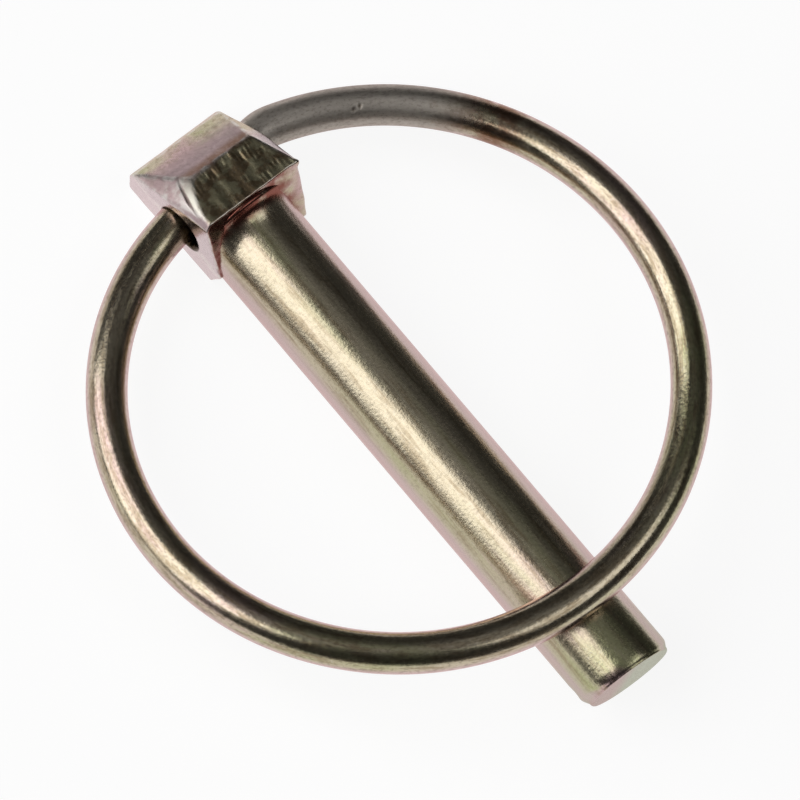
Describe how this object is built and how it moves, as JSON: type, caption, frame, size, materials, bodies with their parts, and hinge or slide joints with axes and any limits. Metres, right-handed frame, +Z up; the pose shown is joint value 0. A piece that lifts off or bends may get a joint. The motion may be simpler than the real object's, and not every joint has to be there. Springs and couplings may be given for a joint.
{
  "type": "lynch pin",
  "caption": "Lynch pin with a round shank, a forged faceted head and a wire ring hinged through the head that folds down over the shank's end.",
  "frame": {"origin": "on the shank's axis, at the underside of the head", "axes": "+Y along the shank towards its tip, +Z up from the surface the pin lies on, +X across the pin"},
  "size_m": [0.0622, 0.0701, 0.0142],
  "materials": {
    "plated_forging": "yellow zinc plated, satin, worn",
    "plated_wire": "yellow zinc plated, satin, worn"
  },
  "bodies": {
    "pin": {"pin": "plated_forging"},
    "ring": {"ring": "plated_wire"}
  },
  "joints": [
    {"name": "ring_hinge", "type": "hinge", "parent": "pin", "child": "ring", "pos_m": [0, -0.00795, 0], "axis": [0.9821, 0.1882, 0], "range_deg": [0, 345]}
  ]
}
